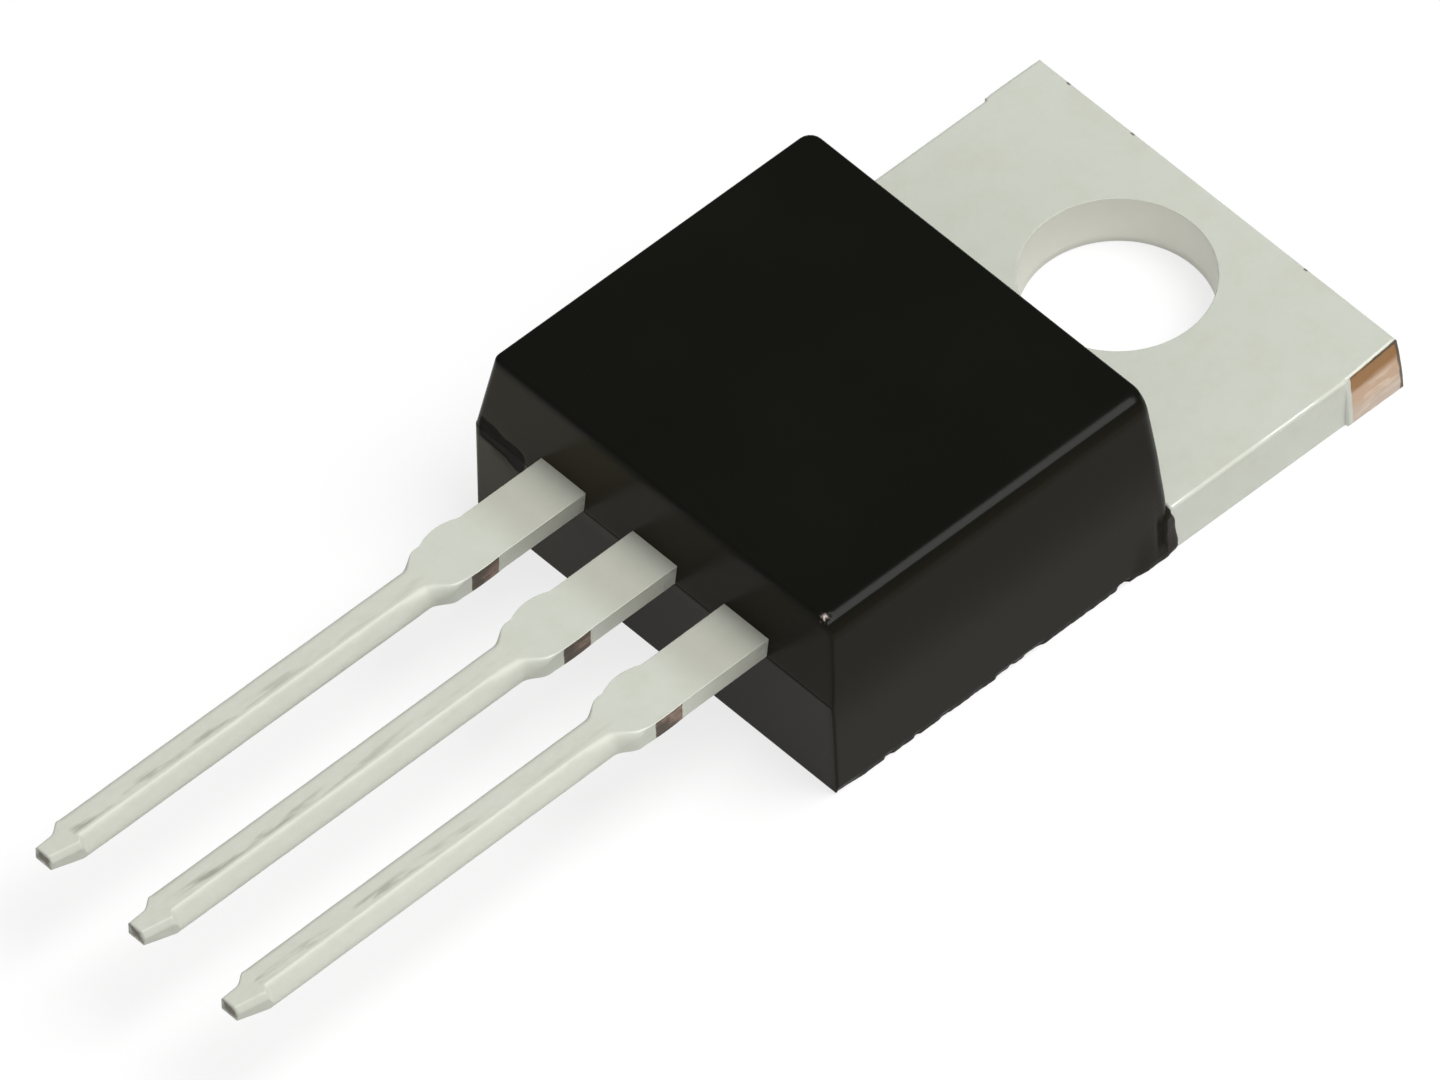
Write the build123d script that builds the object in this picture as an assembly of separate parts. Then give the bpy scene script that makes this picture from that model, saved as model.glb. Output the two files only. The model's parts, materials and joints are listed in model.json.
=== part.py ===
from build123d import *
import math
import os

# Dual schottky rectifier in the three-lead TO-220 outline, common cathode.
# Origin: axis of the mounting hole, on the metal back face.
# +X to the right, +Y from the leads towards the tab, +Z out of the moulded front face. Millimetres.

# Heat spreader: thick copper strip that forms the tab and the die paddle
tab_recess = 0.02          # the tab's sides lie this far inside the mould's
tab_thickness = 1.26
tab_end = 2.74             # hole axis to the far edge of the tab
hole_diameter = 3.88
tie_bar_length = 1.36      # sheared tie-bar ends on the tab's sides, at its far corners
tie_bar_left_front = 0.06  # how far each stands out of the tab's side, at the front face
tie_bar_right_front = -0.04
tie_bar_back = 0.07        # and at the back face, where the metal tore
lock_notch_reach = 0.22    # notches in the tab's sides that the mould grips, past the mould's face
lock_notch_length = 0.62
lock_notch_depth = 0.32
paddle_cover = 0.72        # mould beside the paddle
paddle_step_width = 0.35   # rabbet along the underside of the paddle, filled by the mould
paddle_step_height = 0.45
paddle_margin = 2.35       # mould between the paddle and the lead end

# Moulded body
body_width = 10.04         # lower half
body_height = 4.50
body_far = 3.41            # hole axis to the mould, measured on the tab's front face
body_length = 8.82         # upper half, far face on the tab to near face at the parting plane
side_draft = 8.8           # degrees, upper half
near_draft = 3.8
far_draft = 3.6
lower_draft = 2.2          # lower half, near face, sloping in towards the back
parting_ledge = 0.02       # lower half stands out by this much at the parting plane
corner_radius = 0.26       # rising corners, upper half
front_edge_radius = 0.24   # around the front face, below corner_radius
lower_corner_radius = 0.08
lock_fill_recess = 0.07    # notch filling lies this far inside the body's side face
lock_fill_drop = 0.05      # and this far below the tab's front face

# Gate scar, on the near face left of the left lead, across the parting plane
gate_width = 1.15
gate_below = 0.22
gate_above = 0.24
gate_depth = 0.05
gate_offset = 0.15         # from the body's left side

# Leads: thin strip of the same copper
lead_pitch = 2.54
lead_thickness = 0.46
lead_underside = 2.54      # height over the back face
lead_length = 13.43        # outside the mould
root_width = 1.24
stub_start = 2.10          # dambar stubs, distances from the mould
stub_end = 3.12
stub_bulge_left = 0.12     # left uncut by the dambar punch
stub_bulge_right = 0.02
shoulder_start = 3.26
shoulder_end = 3.80
lead_width = 0.84
lead_corner_radius = 0.12
tip_length = 0.74
tip_width = 0.46
tip_thickness = 0.32
tip_corner_radius = 0.10
lead_droop = 0.5           # degrees, all three bent slightly towards the back
lead_splay = 0.2           # degrees, outer leads bent slightly outwards

# Inside the mould
neck_width = 1.90          # cathode lead where it runs down to the paddle
neck_level = 0.70          # level run behind the near face before it bends down
neck_run = 1.05            # plan length of the slope
neck_bend_radius = 0.45
post_width = 2.30          # anode bond posts
post_start = 0.50
post_end = 1.75
post_shift = 0.22          # outwards from the lead's own axis
post_corner_radius = 0.15
die_size = 3.00
die_thickness = 0.28
die_gap = 1.30             # between the two dies
die_setback = 1.10         # near edge of the paddle to the near edge of the die
solder_thickness = 0.06
solder_margin = 0.08
wire_diameter = 0.38
wire_pitch = 1.00
wire_rise = 0.62           # height of the loop over the bond post
wire_bend_radius = 0.40
foot_length = 0.85         # flattened wedge bonds
foot_width = 0.52
foot_height = 0.22

# Derived sizes and positions
tab_width = body_width - 2 * tab_recess
paddle_width = body_width - 2 * paddle_cover
die_pitch = die_size + die_gap
far_y = -body_far
near_y = far_y - body_length
paddle_y = near_y + paddle_margin
lead_top = lead_underside + lead_thickness
lead_middle = lead_underside + lead_thickness / 2
parting = lead_underside
upper_height = body_height - parting
notch_y = far_y + lock_notch_reach
notch_end = notch_y - lock_notch_length
die_y = paddle_y + die_setback + die_size / 2
die_base = tab_thickness + solder_thickness
die_top = die_base + die_thickness


def slope(angle, height):
    """Sideways run of a drafted wall over a height."""
    return math.tan(math.radians(angle)) * height


def box(x0, x1, y0, y1, z0, z1):
    """Block between two corners."""
    centre = ((x0 + x1) / 2, (y0 + y1) / 2, (z0 + z1) / 2)
    return Pos(*centre) * Box(x1 - x0, y1 - y0, z1 - z0)


def section_at(z, half_width, y0, y1, radius):
    """Plan section of the mould at one height, symmetric in X."""
    return Pos(0, (y0 + y1) / 2, z) * RectangleRounded(2 * half_width, y1 - y0, radius)


def mould_block():
    """Outside of the mould: drafted, round-edged upper half on a slightly larger lower half."""
    half = body_width / 2
    upper_half = half - parting_ledge
    far_part = far_y - slope(far_draft, parting - tab_thickness)
    far_back = far_y + slope(far_draft, tab_thickness)
    upper = loft([
        section_at(parting, upper_half, near_y, far_part, corner_radius),
        section_at(
            body_height,
            upper_half - slope(side_draft, upper_height),
            near_y + slope(near_draft, upper_height),
            far_part - slope(far_draft, upper_height),
            corner_radius,
        ),
    ])
    upper = fillet(upper.faces().sort_by(Axis.Z)[-1].edges(), front_edge_radius)
    near_low = near_y - parting_ledge
    lower = loft([
        section_at(0, half, near_low + slope(lower_draft, parting), far_back, lower_corner_radius),
        section_at(parting, half, near_low, far_part, lower_corner_radius),
    ])
    return upper + lower


def lock_fills():
    """Mould compound that fills the notches in the tab's sides."""
    outer = body_width / 2 - lock_fill_recess
    inner = tab_width / 2 - lock_notch_depth
    block = box(inner, outer, notch_end, notch_y, 0, tab_thickness - lock_fill_drop)
    return block + mirror(block, Plane.YZ)


def gate_scar():
    """Shallow pocket where the mould gate was broken off."""
    x0 = gate_offset - body_width / 2
    near_low = near_y - parting_ledge
    above = box(x0, x0 + gate_width, near_low, near_y + gate_depth, parting, parting + gate_above)
    below = box(x0, x0 + gate_width, near_low - 1, near_low + gate_depth, parting - gate_below, parting)
    return above + below


def tie_bar_end(side, front, plate):
    """Plate with one side's far corner changed to the slanting face that the tie bar's shear left."""
    half = tab_width / 2
    inner = half - 2 * abs(tie_bar_right_front)
    block = box(inner, half + 1, tab_end - tie_bar_length, tab_end, 0, tab_thickness)
    profile = [(inner, 0), (half + tie_bar_back, 0), (half + front, tab_thickness), (inner, tab_thickness)]
    plane = Plane(origin=(0, tab_end, 0), x_dir=(1, 0, 0), z_dir=(0, -1, 0))
    end = extrude(plane * make_face(Polyline(*profile, close=True)), tie_bar_length)
    if side < 0:
        block, end = mirror(block, Plane.YZ), mirror(end, Plane.YZ)
    return plate - block + end


def spreader_plate():
    """Tab and die paddle: one thick plate with the hole, notches and the rabbeted underside."""
    half = tab_width / 2
    notch_half = half - lock_notch_depth
    side = [
        (half, tab_end),
        (half, notch_y),
        (notch_half, notch_y),
        (notch_half, notch_end),
        (paddle_width / 2, notch_end),
        (paddle_width / 2, paddle_y),
    ]
    outline = Polyline(*side, *[(-x, y) for x, y in reversed(side)], close=True)
    plate = extrude(make_face(outline), tab_thickness)
    plate -= Pos(0, 0, tab_thickness / 2) * Cylinder(hole_diameter / 2, 2 * tab_thickness)
    inner = paddle_width / 2 - paddle_step_width
    rabbet = box(inner, half, paddle_y - 1, notch_end, -1, paddle_step_height)
    near_rabbet = box(-half, half, paddle_y - 1, paddle_y + paddle_step_width, -1, paddle_step_height)
    plate -= rabbet + mirror(rabbet, Plane.YZ) + near_rabbet
    return tie_bar_end(1, tie_bar_right_front, tie_bar_end(-1, tie_bar_left_front, plate))


def lead_side(sign, bulge):
    """One side of a lead's wide part in plan: straight root, dambar stub, curved shoulder."""
    root = sign * root_width / 2
    narrow = sign * lead_width / 2
    stub_middle = (root + sign * bulge, -(stub_start + stub_end) / 2)
    shoulder = ((root + narrow) / 2, -(shoulder_start + shoulder_end) / 2)
    return [
        Line((root, 0), (root, -stub_start)),
        ThreePointArc((root, -stub_start), stub_middle, (root, -stub_end)),
        Line((root, -stub_end), (root, -shoulder_start)),
        TangentArc((root, -shoulder_start), shoulder, tangent=(0, -1)),
        TangentArc((narrow, -shoulder_end), shoulder, tangent=(0, 1)),
    ]


def lead_outside(side):
    """Lead from the mould to its tip: wide stamped part, then the round-edged narrow part."""
    ends = [
        Line((-root_width / 2, 0), (root_width / 2, 0)),
        Line((-lead_width / 2, -shoulder_end), (lead_width / 2, -shoulder_end)),
    ]
    outline = lead_side(-1, stub_bulge_left) + lead_side(1, stub_bulge_right) + ends
    wide = Pos(0, 0, -lead_thickness / 2) * extrude(make_face(outline), lead_thickness)

    def section(distance, width, thickness, radius):
        plane = Plane(origin=(0, -distance, 0), x_dir=(1, 0, 0), z_dir=(0, -1, 0))
        return plane * RectangleRounded(width, thickness, radius)

    full = (lead_width, lead_thickness, lead_corner_radius)
    tip_start = lead_length - tip_length
    narrow = loft([section(shoulder_end, *full), section(tip_start, *full)])
    tip_end = section(lead_length, tip_width, tip_thickness, tip_corner_radius)
    tip = loft([section(tip_start, *full), tip_end])
    bend = Rot(lead_droop, 0, side * lead_splay)
    return Pos(side * lead_pitch, near_y, lead_middle) * (bend * (wide + narrow + tip))


def cathode_neck():
    """Centre lead inside the mould, bent down from the lead plane to the paddle's front face."""
    low = tab_thickness - lead_thickness / 2
    bend_y = near_y + neck_level
    level_y = near_y + neck_level / 2
    path = FilletPolyline(
        (0, level_y, lead_middle),
        (0, bend_y, lead_middle),
        (0, bend_y + neck_run, low),
        (0, paddle_y + paddle_step_width, low),
        radius=neck_bend_radius,
    )
    plane = Plane(origin=(0, level_y, lead_middle), x_dir=(1, 0, 0), z_dir=(0, 1, 0))
    root = box(-root_width / 2, root_width / 2, near_y, level_y, lead_underside, lead_top)
    return root + sweep(plane * Rectangle(neck_width, lead_thickness), path)


def cathode_frame():
    """Tab, die paddle and centre lead, stamped from one dual-thickness copper strip."""
    return spreader_plate() + cathode_neck() + lead_outside(0)


def anode_lead(side):
    """Outer lead with its bond post; side is -1 left, +1 right."""
    x = side * lead_pitch
    centre = x + side * post_shift
    root = box(x - root_width / 2, x + root_width / 2, near_y, near_y + post_start, lead_underside, lead_top)
    post = box(
        centre - post_width / 2, centre + post_width / 2,
        near_y + post_start, near_y + post_end,
        lead_underside, lead_top,
    )
    post = fillet(post.edges().filter_by(Axis.Z), post_corner_radius)
    return lead_outside(side) + root + post


def square_pad(side, size, z0, thickness):
    """Square layer of a die stack."""
    return Pos(side * die_pitch / 2, die_y, z0 + thickness / 2) * Box(size, size, thickness)


def bond_wire(side, offset):
    """Aluminium wire from a die up to its bond post, with a flattened foot at each end."""
    radius = wire_diameter / 2
    post_y = near_y + (post_start + post_end) / 2
    start = Vector(side * die_pitch / 2 + offset, die_y, die_top)
    end = Vector(side * (lead_pitch + post_shift) + offset, post_y, lead_top)
    along = Vector(end.X - start.X, end.Y - start.Y, 0).normalized()
    heading = math.degrees(math.atan2(along.Y, along.X))
    rise = Vector(0, 0, radius)
    heel = along * (foot_length / 2 - radius / 2)
    bend = along * wire_bend_radius
    shoulder = along * (foot_length + wire_bend_radius)
    peak = lead_top + wire_rise
    path = FilletPolyline(
        start + rise + heel,
        start + rise + heel + bend,
        Vector(start.X, start.Y, peak) + shoulder,
        Vector(end.X, end.Y, peak) - shoulder,
        end + rise - heel - bend,
        end + rise - heel,
        radius=wire_bend_radius,
    )
    loop = sweep(Plane(origin=path @ 0, z_dir=path % 0) * Circle(radius), path)
    foot = extrude(SlotOverall(foot_length, foot_width), foot_height)
    feet = [Location(point, (0, 0, heading)) * foot for point in (start, end)]
    return loop + feet[0] + feet[1]


metal = {"cathode_frame": cathode_frame()}
for side, name in {-1: "left", 1: "right"}.items():
    solder_size = die_size + 2 * solder_margin
    metal[f"anode_lead_{name}"] = anode_lead(side)
    metal[f"die_solder_{name}"] = square_pad(side, solder_size, tab_thickness, solder_thickness)
    metal[f"die_{name}"] = square_pad(side, die_size, die_base, die_thickness)
    metal[f"bond_wire_{name}_inner"] = bond_wire(side, -side * wire_pitch / 2)
    metal[f"bond_wire_{name}_outer"] = bond_wire(side, side * wire_pitch / 2)

mould = mould_block() + lock_fills() - gate_scar()
for piece in metal.values():
    mould -= piece

os.makedirs("parts", exist_ok=True)
for name, piece in {"mould_body": mould, **metal}.items():
    solids = piece.solids()
    export_step(solids[0] if len(solids) == 1 else Compound(solids), f"parts/{name}.step")
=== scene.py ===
import bmesh
import bpy
import json
import math
import numpy as np
from mathutils import Matrix, Vector, noise


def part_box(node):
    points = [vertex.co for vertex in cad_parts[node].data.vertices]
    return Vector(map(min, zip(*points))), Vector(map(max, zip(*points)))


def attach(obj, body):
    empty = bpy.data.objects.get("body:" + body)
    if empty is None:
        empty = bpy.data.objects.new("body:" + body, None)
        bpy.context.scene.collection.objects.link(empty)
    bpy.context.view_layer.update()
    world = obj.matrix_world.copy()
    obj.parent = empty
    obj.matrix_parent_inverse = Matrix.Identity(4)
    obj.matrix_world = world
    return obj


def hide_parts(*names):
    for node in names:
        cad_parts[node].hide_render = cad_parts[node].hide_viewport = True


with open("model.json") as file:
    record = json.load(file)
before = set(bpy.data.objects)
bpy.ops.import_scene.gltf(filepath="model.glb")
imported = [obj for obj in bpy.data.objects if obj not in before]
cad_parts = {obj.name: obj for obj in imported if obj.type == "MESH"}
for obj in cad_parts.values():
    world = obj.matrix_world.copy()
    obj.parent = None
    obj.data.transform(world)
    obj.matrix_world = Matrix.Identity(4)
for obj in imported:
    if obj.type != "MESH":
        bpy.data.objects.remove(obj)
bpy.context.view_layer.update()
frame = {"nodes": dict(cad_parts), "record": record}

# ---- Moulded body ----
# Black, silica-filled epoxy, transfer-moulded round the copper in a two-part die: glossy drafted
# faces, a faint ledge at the parting plane, a broken gate at the left, torn flash along the bottom.

MM = 0.001
body_low, body_high = (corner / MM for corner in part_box("mould_body"))
lead_thickness = 0.46
parting_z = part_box("anode_lead_left")[1].z / MM - lead_thickness
tab_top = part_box("die_solder_left")[0].z / MM
ledge = 0.01               # the upper half of the die stands in by this at the parting plane
ledge_ripple = 0.003
far_reach = 0.22           # the notch fillings reach this far past the body's far face
far_face = body_high.y - far_reach
side_draft, near_draft, far_draft, lower_draft = 8.8, 7.6, 3.6, 1.7     # in degrees
side_edge, near_edge, sharp_edge = 0.46, 0.11, 0.10     # radii round the front face
near_corner, far_corner, foot_corner = 0.16, 0.28, 0.05
right_corner = 0.05        # the near right corner is sharper than the left one
least_corner = 0.04
foot_radius = 0.03
foot_dents = (             # where flash has broken off the right foot: from y, to y, depth
    (-10.90, -10.70, 0.045), (-10.12, -10.00, 0.035), (-9.42, -9.20, 0.02),
    (-8.68, -8.50, 0.015), (-7.98, -6.76, 0.035), (-7.60, -7.50, 0.025),
    (-7.20, -6.86, 0.02), (-4.76, -4.50, 0.085),
)
dent_edge = 0.04
foot_top = 0.16            # no flash is torn off above this height
foot_end_loss, foot_end_length = 0.05, 0.85     # more is gone at the near end
foot_swell, swell_from, swell_to, swell_height = 0.048, -4.45, -3.95, 1.0
wall_blend = 0.7           # height over which the right wall turns into its draft
gate_middle = (-4.20, 2.58)
gate_size = (1.46, 0.72)
gate_tilt = -0.15
gate_depth = 0.018
gate_fade_above, gate_fade_below = 0.28, 0.07
# Painted shade: the last number darkens the groove beside the notch fillings.
groove_from, groove_to, groove_depth, groove_shade = -3.86, -3.70, 0.012, 0.58
# The dent at the near right corner is real; its pale core is a painted highlight.
chip_reach, chip_depth = 0.17, 0.03
fill_start = -3.53         # the notch fillings come out of the sides here
fill_inner = 4.66          # and are buried in the tab's notches to here
fill_proud = 0.036
fill_levels = 32
fine_from, fine_to, fine_step = 2.28, 2.86, 0.022       # heights of the rings across the gate
corner_turns = (0.2, 0.4, 0.6, 0.8)      # points round each corner, as shares of its quarter turn
crease_angle = 38          # edges sharper than this, in degrees, stay sharp


def lean(angle, rise):
    """Sideways run of a drafted wall over a height."""
    return math.tan(math.radians(angle)) * rise


def wall(start, inward, draft, edge, z):
    """Where one upper wall stands at a height, with its round edge to the front face."""
    arc_z = body_high.z - edge
    if z <= arc_z:
        return start + inward * lean(draft, z - parting_z)
    to_middle = lean(draft, arc_z - parting_z) + edge / math.cos(math.radians(draft))
    return start + inward * (to_middle - math.sqrt(max(edge ** 2 - (z - arc_z) ** 2, 0)))


def body_section(z, upper, inset=0.0):
    """Right, left, near and far edge of the body at a height, and its four corner radii."""
    drafted = wall(body_high.x, -1, side_draft, side_edge, z) if z > parting_z else body_high.x
    into_blend = wall_blend - min(abs(z - parting_z), wall_blend)
    right = drafted - lean(side_draft, into_blend ** 2 / (4 * wall_blend))
    if upper:
        left = wall(body_low.x + ledge, 1, side_draft, sharp_edge, z)
        near = wall(body_low.y + ledge, 1, near_draft, near_edge, z)
        far = wall(far_face - lean(far_draft, parting_z - tab_top), -1, far_draft, sharp_edge, z)
        radii = (right_corner, far_corner, far_corner, near_corner)
    else:
        left = body_low.x
        near = body_low.y + lean(lower_draft, parting_z - z)
        far = far_face - lean(far_draft, z - tab_top)
        far_round = near_corner + (far_corner - near_corner) * ramp_up(z, tab_top, parting_z)
        left_round = foot_corner + (near_corner - foot_corner) * z / parting_z
        radii = (right_corner, far_round, far_round, left_round)
    at_parting = abs(z - parting_z) < 0.1
    edges = (right if at_parting else right - inset, left + inset, near + inset, far - inset)
    return edges, [max(radius - 0.5 * inset, least_corner) for radius in radii]


def ring_points(edges, radii, steps):
    """A section's outline, anticlockwise from the near left corner, and the ways it faces."""
    right, left, near, far = edges
    corners = ((right, near, -90), (right, far, 0), (left, far, 90), (left, near, 180))
    centres = []
    for (x, y, _), radius in zip(corners, radii):
        centres.append((x - math.copysign(radius, x), y + (radius if y == near else -radius)))
    points, outward = [], []
    for side in range(4):
        before, after = (side - 1) % 4, side
        normal = np.array([(0, -1), (1, 0), (0, 1), (-1, 0)][side])
        a = np.array(centres[before]) + normal * radii[before]
        b = np.array(centres[after]) + normal * radii[after]
        for t in steps[side]:
            points.append(a + (b - a) * t)
            outward.append(normal)
        start = math.radians(corners[after][2])
        for turn in corner_turns:
            angle = start + turn * math.pi / 2
            direction = np.array((math.cos(angle), math.sin(angle)))
            points.append(np.array(centres[after]) + direction * radii[after])
            outward.append(direction)
    return points, outward


def ramp_up(value, low, high):
    """0 below low, 1 above high, smooth between."""
    t = min(max((value - low) / (high - low), 0), 1)
    return t * t * (3 - 2 * t)


def ripple(x, y, z, scale, seed):
    """Smooth noise of about -1 to 1 at a point in millimetres."""
    return noise.noise(Vector((x * scale + seed * 17.3, y * scale - seed * 9.1, z * scale + seed)))


def gate_break(x, z):
    """How deep the snapped-off gate's scar is at a point of the near face, from 0 to 1; the same
    share darkens the scar with painted shade.
    """
    along = x - gate_middle[0]
    across = z - gate_middle[1] - gate_tilt * along + 0.05 * ripple(x, 0, z, 3.1, 3)
    ends = ramp_up(gate_size[0] / 2 - abs(along + 0.05 * ripple(x, 0, z, 4.0, 8)), 0, 0.2)
    fade = gate_fade_above if across > 0 else gate_fade_below
    return ends * ramp_up(gate_size[1] / 2 - abs(across), 0, fade)


def torn_foot(y, z):
    """How far the torn flash along the right bottom edge has broken away, in millimetres."""
    lost = 0.008 + 0.012 * ripple(y, 0, 0, 4.5, 6) + 0.008 * ripple(y, 0, 0, 13.0, 7)
    lost += foot_end_loss * (1 - ramp_up(y, body_low.y + 0.2, body_low.y + foot_end_length))
    for start, end, depth in foot_dents:
        begun = ramp_up(y, start - dent_edge, start + dent_edge)
        lost += depth * begun * (1 - ramp_up(y, end - dent_edge, end + dent_edge))
    return lost * (1 - ramp_up(z, 0.04, foot_top))


def shell_mesh(name, rings, closed_ends=True):
    """Mesh through rings of points that all have the same number of points."""
    count = len(rings[0])
    vertices = [tuple(np.array(p) * MM) for ring in rings for p in ring]
    faces = []
    for level in range(len(rings) - 1):
        for i in range(count):
            j = (i + 1) % count
            a, b = level * count, (level + 1) * count
            faces.append((a + i, a + j, b + j, b + i))
    if closed_ends:
        faces.append(tuple(range(count))[::-1])
        faces.append(tuple((len(rings) - 1) * count + i for i in range(count)))
    mesh = bpy.data.meshes.new(name)
    mesh.from_pydata(vertices, [], faces)
    mesh.validate()
    return mesh


def paint_points(mesh, attribute, values):
    """Stores one number a point, for the material to read."""
    layer = mesh.attributes.new(attribute, "FLOAT", "POINT")
    layer.data.foreach_set("value", np.array(values, np.float32))


def body_levels():
    """Each ring's height, whether it is in the upper half of the die, and how far it is inset."""
    levels = [(0.0, False, foot_radius), (0.004, False, 0.6 * foot_radius)]
    levels += [(0.012, False, 0.3 * foot_radius)]
    for z in (0.03, 0.06, 0.1, 0.15, 0.2, 0.26, 0.34, 0.6, 1.0, 1.26, 1.6, 2.0, 2.25):
        levels.append((z, False, 0.0))
    levels += [(z, False, 0.0) for z in np.arange(fine_from, parting_z - 0.01, fine_step)]
    levels += [(parting_z - 0.004, False, 0.002), (parting_z, False, 0.6 * ledge)]
    levels += [(parting_z + 0.002, True, 0.0)]
    levels += [(z, True, 0.0) for z in np.arange(parting_z + 0.02, fine_to, fine_step)]
    levels += [(z, True, 0.0) for z in (2.95, 3.2, 3.5, 3.8, 4.0, 4.1)]
    side_angles, near_angles, sharp_angles = (0, 0.15, 0.3, 0.45, 0.6), (0.3, 0.5, 0.7), (0.2, 0.6)
    round_edges = ((side_edge, side_angles), (near_edge, near_angles), (sharp_edge, sharp_angles))
    for edge, angles in round_edges:
        levels += [(body_high.z - edge * (1 - math.sin(angle)), True, 0.0) for angle in angles]
    levels += [(body_high.z - drop, True, 0.0) for drop in (0.03, 0.018, 0.01, 0.004, 0.001)]
    levels.sort(key=lambda level: level[:2])
    return levels + [(body_high.z, True, inset) for inset in (0.0, 0.03, 0.4)]


def body_wear_and_shade(x, y, z, nx, ny):
    """How deep a point of the body's wall is sunk in, and how rough and dark it is made, from 0 to
    1; the dark is painted shade in the gate's scar and the groove, and the torn flash's own colour
    at the foot.
    """
    depth, worn = 0.0, 0.0
    # Painted shade: the gate's scar is darkened with the torn colour.
    if ny < -0.9:
        worn = gate_break(x, z)
        uneven = 1 + 0.3 * ripple(x, 0, z, 5, 1) + 0.12 * ripple(x, 0, z, 19, 2)
        depth = worn * (gate_depth * uneven - ledge * (z > parting_z))
    if nx > 0.2 and z < 0.4:
        depth = torn_foot(y, z) * nx
        worn = min(depth / 0.05, 1) * (1 - ramp_up(z, 0.05, 0.25))
    if nx > 0.5 and z < swell_height:
        depth -= foot_swell * ramp_up(y, swell_from, swell_to) * (1 - ramp_up(z, 0.0, swell_height))
    # Painted shade: the groove is darkened with the torn colour.
    if abs(nx) > 0.5 and 0.1 < z < tab_top + 0.3:
        groove = ramp_up(y, groove_from, groove_to)
        groove *= ramp_up(z, 0.1, 0.4) * (1 - ramp_up(z, tab_top - 0.08, tab_top + 0.27))
        depth += groove_depth * groove
        worn = max(worn, groove_shade * groove)
    if abs(z - parting_z) < 0.03 and worn == 0 and nx < 0.5:
        depth = ledge_ripple * (1 + ripple(x, y, 0, 3, 4))
    return depth, worn


def body_mesh():
    """The body's shell, ring by ring from the back face up, with its scar and torn edge."""
    past_gate = 0.135
    near = np.concatenate([np.linspace(0, past_gate, 44), np.linspace(past_gate, 1, 60)[1:]])
    steps = (near, np.linspace(0, 1, 190), np.linspace(0, 1, 50), np.linspace(0, 1, 60))
    right, _, front, _ = body_section(body_high.z - 0.03, True)[0]
    # Painted highlight: a pale spot in the corner's dent, and a small pale dot at the near left
    # corner above the parting plane.
    chip_and_glint_corner = (right - 0.06, front + 0.05, body_high.z - 0.01)
    glint_speck_corner = (body_low.x + 0.05, body_low.y + 0.02, parting_z + 0.08)
    rings, broken, chipped = [], [], []
    for z, upper, inset in body_levels():
        points, outward = ring_points(*body_section(z, upper, inset), steps)
        ring = []
        for (x, y), (nx, ny) in zip(points, outward):
            depth, worn = body_wear_and_shade(x, y, z, nx, ny)
            from_chip = math.dist((x, y, z), chip_and_glint_corner) + 0.06 * ripple(x, y, z, 9, 15)
            flaw_and_glint = 1 - ramp_up(from_chip, 0.03, chip_reach)
            glint_speck = 1 - ramp_up(math.dist((x, y, z), glint_speck_corner), 0.02, 0.12)
            depth += chip_depth * flaw_and_glint
            ring.append((x - nx * depth, y - ny * depth, z - 0.02 * flaw_and_glint))
            broken.append(worn)
            chipped.append(max(flaw_and_glint, glint_speck))
        rings.append(ring)
    mesh = shell_mesh("moulded_body", rings)
    paint_points(mesh, "broken", broken)
    paint_points(mesh, "chipped", chipped)
    return mesh


def rounded_loop(points):
    """A closed loop with its corners cut away, twice over."""
    for _ in range(2):
        points = [
            (a[0] * near + b[0] * (1 - near), a[1] * near + b[1] * (1 - near))
            for a, b in zip(points, points[1:] + points[:1])
            for near in (0.75, 0.25)
        ]
    return points


def notch_fill(side):
    """Lump of mould compound in one of the tab's side notches, uneven where it met the die."""
    rings = []
    tall = tab_top + 0.01
    for level in range(fill_levels + 1):
        z = tall * level / fill_levels
        swell = 0.03 * ripple(side, 0, z, 2.1, 9) + 0.025 * ripple(side, 3, z, 5.0, 12)
        reach = body_high.y + 0.03 + 0.4 * swell
        reach -= 0.06 * ramp_up(z, 0.2, 0.8) + 0.14 * ramp_up(z, 0.8, tall)
        outer = body_high.x + fill_proud + 0.012 * (1 - ramp_up(z, 0.05, 0.5))
        outer -= 0.08 * ramp_up(z, 0.86 * tall, tall)
        start = fill_start + 0.02 * ripple(side, 5, z, 4.0, 13)
        inset = {0: 0.03, 1: 0.01}.get(min(level, fill_levels - level), 0.0)
        face = outer - inset
        loop = [(fill_inner, start - 0.2), (outer - 0.10, start - 0.10), (face, start)]
        loop += [(face - 0.004, start + 0.06), (face - 0.025, (start + reach) / 2 + 0.04)]
        loop += [(face - 0.04, reach - 0.04), (face - 0.10, reach - inset)]
        loop.append((fill_inner, reach - inset))
        ring = [(side * x, y, z) for x, y in rounded_loop(loop)]
        rings.append(ring if side > 0 else ring[::-1])
    mesh = shell_mesh("notch_fill", rings)
    paint_points(mesh, "broken", [0.15] * len(mesh.vertices))
    return mesh


def join_meshes(name, meshes, merge=0.0):
    """One mesh from several closed shells, with points nearer than merge made one."""
    bm = bmesh.new()
    for mesh in meshes:
        bm.from_mesh(mesh)
    if merge:
        bmesh.ops.remove_doubles(bm, verts=bm.verts, dist=merge)
    made = bpy.data.meshes.new(name)
    bm.to_mesh(made)
    bm.free()
    return made


def place(name, mesh, material, slot, *nodes):
    """Finished piece: smooth but for its real edges, riding on the body, standing for its nodes."""
    mesh.materials.clear()
    mesh.materials.append(material)
    mesh.polygons.foreach_set("use_smooth", [True] * len(mesh.polygons))
    mesh.set_sharp_from_angle(angle=math.radians(crease_angle))
    piece = bpy.data.objects.new(name, mesh)
    bpy.context.scene.collection.objects.link(piece)
    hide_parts(*nodes)
    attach(piece, "root")


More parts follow.
